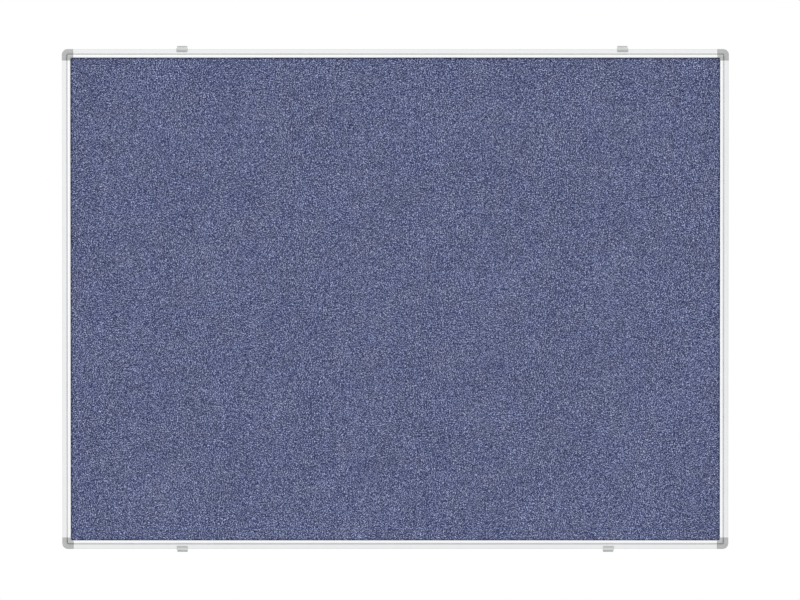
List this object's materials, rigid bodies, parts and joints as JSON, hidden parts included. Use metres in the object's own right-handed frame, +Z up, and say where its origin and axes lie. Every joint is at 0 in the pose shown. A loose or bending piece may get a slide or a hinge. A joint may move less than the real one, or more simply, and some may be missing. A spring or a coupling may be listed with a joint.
{
  "type": "pinboard",
  "caption": "Wide felt-faced pinboard in a slim bright metal frame with moulded grey corners, carried on the wall by small grey clips that slide along the top and bottom rails.",
  "frame": {"origin": "middle of the board, on the wall plane that the four clips' back plates touch", "axes": "+X to the viewer's right along the board's long side, -Y out of the wall towards the viewer, +Z up"},
  "size_m": [1.2004, 0.0209, 0.9128],
  "materials": {
    "felt": "pressed needle felt, grey-blue, matte, with a fine melange speckle",
    "softboard": "raw pressed wood fibre, light enough to take pins",
    "backing": "smooth kraft-lined paper, off-white",
    "frame_aluminium": "satin anodised, with fine lines along the extrusion",
    "corner_plastic": "fine moulded grain, mid grey",
    "clip_plastic": "smooth moulded, light grey",
    "screw_steel": "bright zinc plating"
  },
  "bodies": {
    "board": {"felt_face": "felt", "softboard_core": "softboard", "backing_sheet": "backing", "rail_top": "frame_aluminium", "rail_right": "frame_aluminium", "rail_bottom": "frame_aluminium", "rail_left": "frame_aluminium", "corner_top_left": "corner_plastic", "corner_top_right": "corner_plastic", "corner_bottom_right": "corner_plastic", "corner_bottom_left": "corner_plastic", "screw_top_left_top_rail": "screw_steel", "screw_top_left_left_rail": "screw_steel", "screw_top_right_right_rail": "screw_steel", "screw_top_right_top_rail": "screw_steel", "screw_bottom_right_bottom_rail": "screw_steel", "screw_bottom_right_right_rail": "screw_steel", "screw_bottom_left_left_rail": "screw_steel", "screw_bottom_left_bottom_rail": "screw_steel"},
    "clip_top_left": {"wall_clip_top_left": "clip_plastic"},
    "clip_top_right": {"wall_clip_top_right": "clip_plastic"},
    "clip_bottom_left": {"wall_clip_bottom_left": "clip_plastic"},
    "clip_bottom_right": {"wall_clip_bottom_right": "clip_plastic"}
  },
  "joints": [
    {"name": "clip_top_left_slide", "type": "slide", "parent": "board", "child": "clip_top_left", "axis": [1, 0, 0], "range_m": [-0.168, 0.374]},
    {"name": "clip_top_right_slide", "type": "slide", "parent": "board", "child": "clip_top_right", "axis": [1, 0, 0], "range_m": [-0.399, 0.143]},
    {"name": "clip_bottom_left_slide", "type": "slide", "parent": "board", "child": "clip_bottom_left", "axis": [1, 0, 0], "range_m": [-0.168, 0.374]},
    {"name": "clip_bottom_right_slide", "type": "slide", "parent": "board", "child": "clip_bottom_right", "axis": [1, 0, 0], "range_m": [-0.374, 0.168]}
  ]
}
